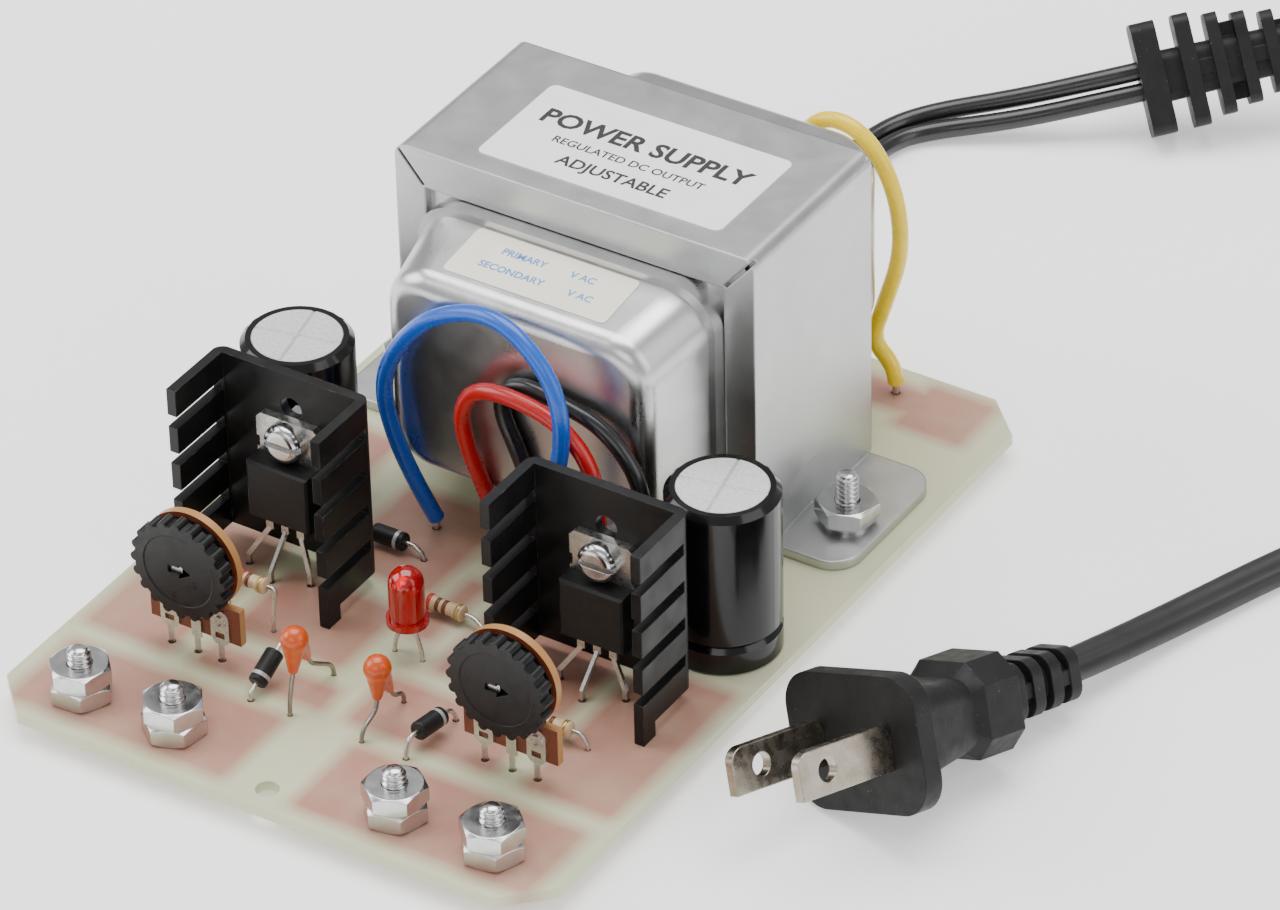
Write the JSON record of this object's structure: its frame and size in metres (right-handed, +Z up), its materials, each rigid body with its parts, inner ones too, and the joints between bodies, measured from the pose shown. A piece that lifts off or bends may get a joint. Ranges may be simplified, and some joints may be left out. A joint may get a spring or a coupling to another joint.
{
  "type": "bench power supply",
  "caption": "Open circuit-board linear power supply with a framed transformer, finned heatsinks, thumbwheel trimmers, screw terminals and a corded two-blade mains plug.",
  "frame": {"origin": "bottom centre of the board assembly without its mains cord, at the undersides of the screw heads", "axes": "+Y runs along the board from the terminals towards the transformer, its longest side; +Z up off the component side; +X to the right seen from the terminals"},
  "size_m": [0.1965, 0.2758, 0.055],
  "materials": {
    "board": "satin glass-epoxy laminate",
    "solder": "bright solder",
    "zinc": "bright zinc plating",
    "frame_steel": "satin galvanised sheet",
    "lamination": "varnished lamination edges",
    "nylon": "satin moulded nylon",
    "copper": "enamelled copper wire under tape",
    "bell_steel": "bright drawn tinplate",
    "label_white": "matt printed label",
    "label_cream": "matt printed label",
    "bushing": "moulded plastic",
    "wire_blue": "glossy PVC",
    "wire_red": "glossy PVC",
    "wire_black": "glossy PVC",
    "wire_yellow": "glossy PVC",
    "tinned": "tinned copper",
    "anodised": "black anodised",
    "epoxy_black": "moulded epoxy",
    "phenolic": "punched phenolic sheet",
    "wheel_black": "moulded plastic",
    "contact": "plated spring metal",
    "sleeve": "shrunk PVC sleeve",
    "can": "bright aluminium",
    "rubber_seal": "matt",
    "tantalum": "dipped epoxy",
    "resistor": "coated ceramic",
    "lens": "tinted clear epoxy",
    "jacket": "matt PVC",
    "nickel": "worn nickel plating"
  },
  "bodies": {
    "supply": {"circuit_board": "board", "solder_joints": "solder", "terminal_screws": "zinc", "terminal_lower_nuts": "zinc", "transformer_frame": "frame_steel", "transformer_core": "lamination", "bobbin": "nylon", "primary_winding": "copper", "secondary_winding": "copper", "front_bell": "bell_steel", "rear_bell": "bell_steel", "rating_label": "label_cream", "name_label": "label_white", "lead_bushings": "bushing", "transformer_screws": "zinc", "transformer_lock_washers": "zinc", "transformer_nuts": "zinc", "blue_lead": "wire_blue", "red_lead": "wire_red", "black_lead": "wire_black", "yellow_lead": "wire_yellow", "far_yellow_lead": "wire_yellow", "lead_ends": "tinned", "heatsink_left": "anodised", "heatsink_right": "anodised", "regulator_tabs": "tinned", "regulator_bodies": "epoxy_black", "regulator_leads": "tinned", "regulator_screws": "zinc", "regulator_nuts": "zinc", "trimmer_bases": "phenolic", "trimmer_terminals": "tinned", "capacitor_sleeves": "sleeve", "capacitor_cans": "can", "capacitor_seals": "rubber_seal", "capacitor_leads": "tinned", "tantalum_bodies": "tantalum", "tantalum_leads": "tinned", "diode_bodies": "epoxy_black", "diode_leads": "tinned", "resistor_bodies": "resistor", "resistor_leads": "tinned", "led_lens": "lens", "led_leads": "tinned", "mains_conductors": "wire_black", "strain_relief": "jacket", "mains_cord_coil": "jacket", "cord_tie": "jacket", "mains_cord_tail": "jacket", "mains_cord_lead": "jacket", "plug_body": "jacket", "plug_blades": "nickel"},
    "thumbwheel_left": {"thumbwheel_left": "wheel_black", "wiper_left": "contact"},
    "thumbwheel_right": {"thumbwheel_right": "wheel_black", "wiper_right": "contact"},
    "nut_1": {"terminal_nut_1": "zinc"},
    "nut_2": {"terminal_nut_2": "zinc"},
    "nut_3": {"terminal_nut_3": "zinc"},
    "nut_4": {"terminal_nut_4": "zinc"}
  },
  "joints": [
    {"name": "adjust_left", "type": "hinge", "parent": "supply", "child": "thumbwheel_left", "pos_m": [-0.0254, -0.0431, 0.0192], "axis": [0, 1, 0], "range_deg": [-135, 135]},
    {"name": "adjust_right", "type": "hinge", "parent": "supply", "child": "thumbwheel_right", "pos_m": [0.0254, -0.0431, 0.0192], "axis": [0, 1, 0], "range_deg": [-135, 135]},
    {"name": "nut_1_lift", "type": "slide", "parent": "supply", "child": "nut_1", "axis": [0, 0, 1], "range_m": [0, 0.0022]},
    {"name": "nut_2_lift", "type": "slide", "parent": "supply", "child": "nut_2", "axis": [0, 0, 1], "range_m": [0, 0.0022]},
    {"name": "nut_3_lift", "type": "slide", "parent": "supply", "child": "nut_3", "axis": [0, 0, 1], "range_m": [0, 0.0022]},
    {"name": "nut_4_lift", "type": "slide", "parent": "supply", "child": "nut_4", "axis": [0, 0, 1], "range_m": [0, 0.0022]}
  ]
}
